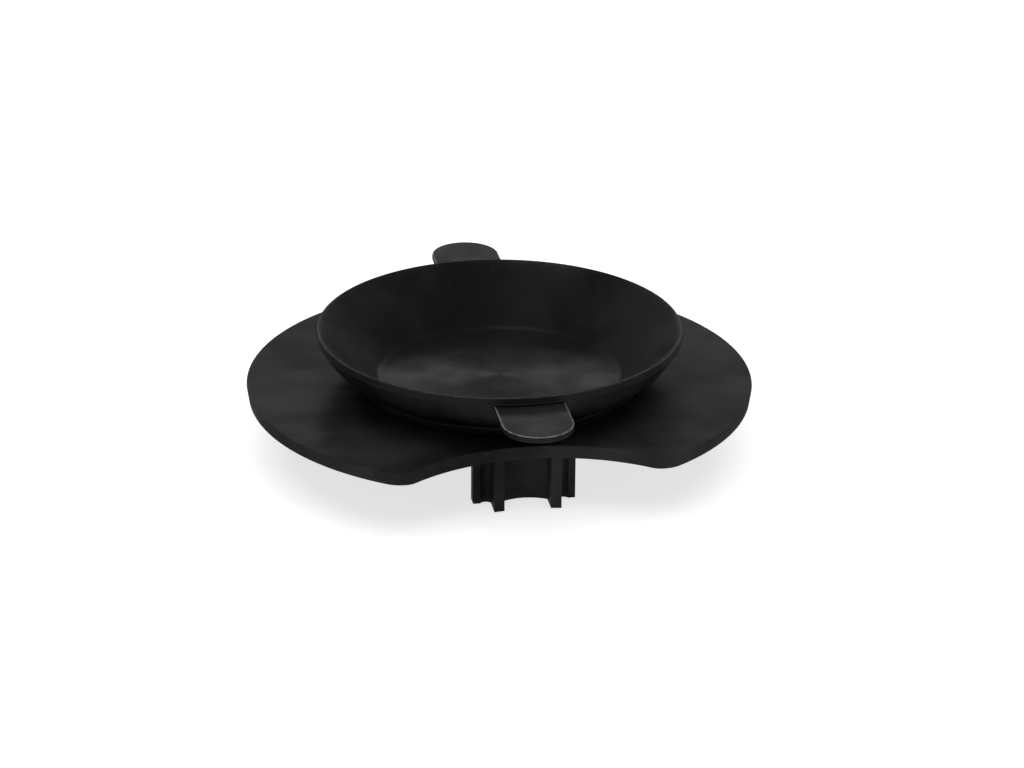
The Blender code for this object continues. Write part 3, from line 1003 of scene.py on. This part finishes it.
def studio_camera(studio):
    turn, lift = studio.azimuth, studio.elevation
    back = Vector((math.sin(turn) * math.cos(lift), -math.cos(turn) * math.cos(lift), math.sin(lift)))
    level = Vector((math.cos(turn), math.sin(turn), 0))
    upright = back.cross(level)
    right = level * math.cos(studio.roll) + upright * math.sin(studio.roll)
    up = back.cross(right)
    aim = Vector((0, 0, BASE_HIGH.z)) + right * studio.aim_right - up * studio.aim_down
    pick()
    bpy.ops.object.camera_add(location=aim + back * studio.distance)
    camera = bpy.context.active_object
    camera.name = "studio_camera"
    camera.rotation_euler = Matrix((right, up, back)).transposed().to_euler()
    camera.data.lens = studio.lens
    camera.data.clip_start = 0.05
    bpy.context.scene.camera = camera


# Operators


class FOOT_OT_plate(bpy.types.Operator):
    """Model the moulded plate with its notches, cup seat and plugs, and the boss and stiffeners under it"""

    bl_idname = "foot.plate"
    bl_label = "Moulded plate"

    def execute(self, context):
        plate, plug = context.scene.foot_plate, context.scene.foot_plug
        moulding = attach(dress(moulded_plate(plate, plug), plastic_material), "base")
        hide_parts("base_plate")
        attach(dress(underside_ribs(plate, plug), plastic_material), "base")
        return {"FINISHED"}


class FOOT_OT_cup(bpy.types.Operator):
    """Turn the rubber cup"""

    bl_idname = "foot.cup"
    bl_label = "Rubber cup"

    def execute(self, context):
        cup = dress(rubber_cup(context.scene.foot_cup), turned_rubber_material)
        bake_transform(cup)
        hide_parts("suction_cup")
        return {"FINISHED"}


class FOOT_OT_tabs(bpy.types.Operator):
    """Model the rear release tab and turn a copy of it to the front"""

    bl_idname = "foot.tabs"
    bl_label = "Release tabs"

    def execute(self, context):
        rear = rear_tab(context.scene.foot_cup)
        front = half_turn_copy(rear, "front_tab")
        for tab, side, body, node in (
            (rear, 1, "tab_rear", "release_tab_rear"),
            (front, -1, "tab_front", "release_tab_front"),
        ):
            dress(tab, rubber_material)
            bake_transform(tab)
            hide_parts(node)
        return {"FINISHED"}


class FOOT_OT_fasteners(bpy.types.Operator):
    """Model the bonded stud, both washers and the nut"""

    bl_idname = "foot.fasteners"
    bl_label = "Fasteners"

    def execute(self, context):
        for obj, node in (
            (threaded_stud(), "stud_plate"),
            (plain_washer(), "flat_washer"),
            (split_washer(), "spring_washer"),
            (zinc_nut(), "hex_nut"),
        ):
            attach(dress(obj, zinc_material), "base")
            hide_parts(node)
        return {"FINISHED"}


class FOOT_OT_stage(bpy.types.Operator):
    """Set up the floor, lights, surround and camera"""

    bl_idname = "foot.stage"
    bl_label = "Studio"

    def execute(self, context):
        studio = context.scene.foot_studio
        studio_floor(studio)
        studio_lights()
        studio_world(studio)
        studio_camera(studio)
        context.scene.view_settings.view_transform = "Standard"
        return {"FINISHED"}


class FOOT_PT_pieces(bpy.types.Panel):
    """The foot's pieces and their sizes"""

    bl_label = "Suction mounting foot"
    bl_idname = "FOOT_PT_pieces"
    bl_space_type = "VIEW_3D"
    bl_region_type = "UI"
    bl_category = "Foot"

    def draw(self, context):
        for operator in OPERATORS:
            self.layout.operator(operator.bl_idname)
        for name, group in GROUPS.items():
            box = self.layout.box()
            for key in group.__annotations__:
                box.prop(getattr(context.scene, name), key)


OPERATORS = (FOOT_OT_stage, FOOT_OT_plate, FOOT_OT_cup, FOOT_OT_tabs, FOOT_OT_fasteners)
GROUPS = {
    "foot_plate": FootPlateSizes,
    "foot_plug": FootPlugSizes,
    "foot_cup": FootCupSizes,
    "foot_finishes": FootFinishes,
    "foot_studio": FootStudio,
}
CLASSES = (*GROUPS.values(), *OPERATORS, FOOT_PT_pieces)


def register():
    for cls in CLASSES:
        bpy.utils.register_class(cls)
    for name, group in GROUPS.items():
        setattr(bpy.types.Scene, name, bpy.props.PointerProperty(type=group))


def unregister():
    for name in GROUPS:
        delattr(bpy.types.Scene, name)
    for cls in reversed(CLASSES):
        bpy.utils.unregister_class(cls)


def main():
    register()
    bpy.ops.foot.stage()
    bpy.ops.foot.plate()
    bpy.ops.foot.cup()
    bpy.ops.foot.tabs()
    bpy.ops.foot.fasteners()


if __name__ == "__main__":
    main()
